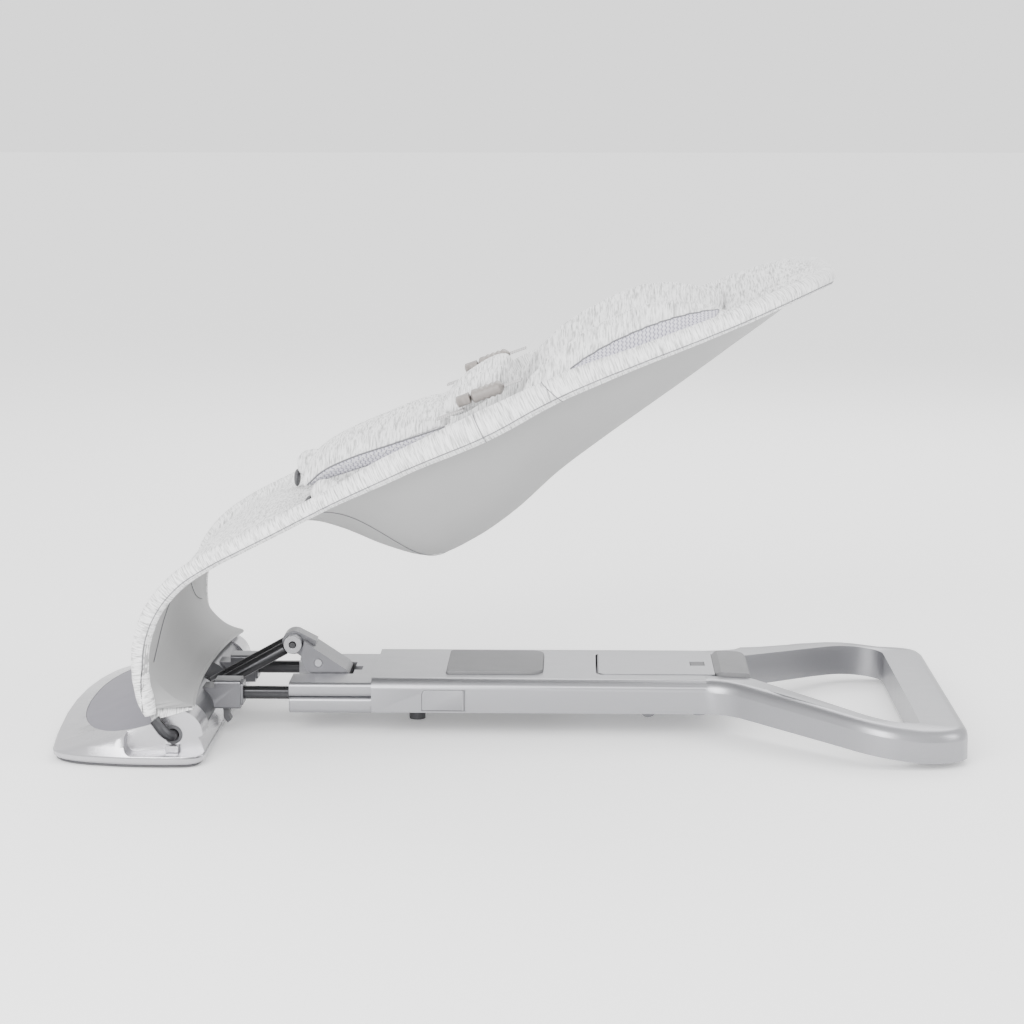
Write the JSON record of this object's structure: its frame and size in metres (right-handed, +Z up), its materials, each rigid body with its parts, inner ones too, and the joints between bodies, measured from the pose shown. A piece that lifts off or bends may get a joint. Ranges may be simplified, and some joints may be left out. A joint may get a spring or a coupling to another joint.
{
  "type": "bouncer seat",
  "caption": "Folding infant bouncer: a padded sling seat hinged in a flat front foot, propped by a crank and bracket on a sliding floor frame with a rear loop.",
  "frame": {"origin": "centre of the base on the floor, midway between the foot's tip and the loop's rear edge", "axes": "+X along the base toward the head end, +Y to the seated child's right, +Z up"},
  "size_m": [0.888, 0.4356, 0.4696],
  "materials": {
    "silver": "satin",
    "foot_silver": "semi-gloss",
    "dark_metal": "satin",
    "grey_rubber": "matte",
    "dark_plastic": "matte",
    "heather_knit": "knit",
    "woven_fabric": "plain weave",
    "air_mesh": "spacer mesh",
    "buckle_plastic": "satin",
    "webbing": "woven tape"
  },
  "bodies": {
    "front_foot": {"foot_shell": "foot_silver", "foot_sole": "dark_plastic", "tread_pad": "grey_rubber", "rod_socket_left": "foot_silver", "rod_socket_right": "foot_silver", "latch_hook_left": "dark_plastic", "latch_hook_right": "dark_plastic", "hinge_bush_left": "dark_plastic", "hinge_bush_right": "dark_plastic", "tube_keeper_left": "foot_silver", "tube_keeper_right": "foot_silver", "base_rod_left": "dark_metal", "base_rod_right": "dark_metal"},
    "rear_base": {"rear_casting": "silver", "beam_floor_plate": "dark_plastic", "carriage_upper": "silver", "carriage_lower": "silver", "rear_floor_strip": "dark_plastic", "centre_stop": "dark_plastic", "tether_eye": "silver", "lock_screw_boss": "silver", "lever_pin": "dark_metal", "rod_end_stop_left": "dark_plastic", "rod_end_stop_right": "dark_plastic"},
    "recline_button": {"recline_button": "grey_rubber", "recline_latch": "dark_metal"},
    "release_lever": {"release_lever": "silver", "lever_lock_flag": "dark_plastic", "lever_grip": "grey_rubber"},
    "side_door_left": {"side_door_left": "silver"},
    "side_door_right": {"side_door_right": "silver"},
    "prop": {"prop_bracket": "silver", "prop_pin": "dark_metal", "prop_rivet": "silver"},
    "seat": {"hinge_shaft": "dark_metal", "crank_hub": "dark_metal", "knuckle_pin": "dark_metal", "crank_arm_left": "dark_metal", "crank_arm_right": "dark_metal", "crank_eye_left": "silver", "crank_eye_right": "silver", "seat_hoop": "dark_metal", "tube_end_left": "dark_metal", "tube_end_right": "dark_metal", "edge_sleeve": "heather_knit", "sling": "woven_fabric", "newborn_insert": "heather_knit", "crotch_pad": "heather_knit", "crotch_strap_left": "webbing", "crotch_strap_right": "webbing", "buckle_tongue_left": "buckle_plastic", "buckle_tongue_right": "buckle_plastic", "buckle_socket_left": "buckle_plastic", "buckle_socket_right": "buckle_plastic", "side_strap_left": "webbing", "side_strap_right": "webbing"}
  },
  "joints": [
    {"name": "seat_recline", "type": "hinge", "parent": "front_foot", "child": "seat", "pos_m": [-0.312, 0, 0.0265], "axis": [0, -1, 0], "range_deg": [-23, 10]},
    {"name": "base_slide", "type": "slide", "parent": "front_foot", "child": "rear_base", "axis": [1, 0, 0], "range_m": [-0.018, 0.042]},
    {"name": "prop_swing", "type": "hinge", "parent": "seat", "child": "prop", "pos_m": [-0.21492, 0, 0.08031], "axis": [0, -1, 0], "range_deg": [-30, 70]},
    {"name": "button_press", "type": "slide", "parent": "rear_base", "child": "recline_button", "axis": [0, 0, -1], "range_m": [0, 0.003], "stiffness_N_per_m": 900, "springref_m": -0.003},
    {"name": "lever_lift", "type": "hinge", "parent": "rear_base", "child": "release_lever", "pos_m": [0.0975, 0, 0.0532], "axis": [0, -1, 0], "range_deg": [0, 15], "stiffness_Nm_per_rad": 1.2, "springref_deg": -20.05},
    {"name": "door_left_swing", "type": "hinge", "parent": "rear_base", "child": "side_door_left", "pos_m": [-0.0405, -0.0789, 0.0396], "axis": [0, 0, 1], "range_deg": [0, 90]},
    {"name": "door_right_swing", "type": "hinge", "parent": "rear_base", "child": "side_door_right", "pos_m": [-0.0405, 0.0789, 0.0396], "axis": [0, 0, -1], "range_deg": [0, 90]}
  ],
  "couplings": [
    {"joint": "base_slide", "follows": "seat_recline", "m_per_rad": -0.098},
    {"joint": "prop_swing", "follows": "seat_recline", "ratio": -2.9}
  ]
}
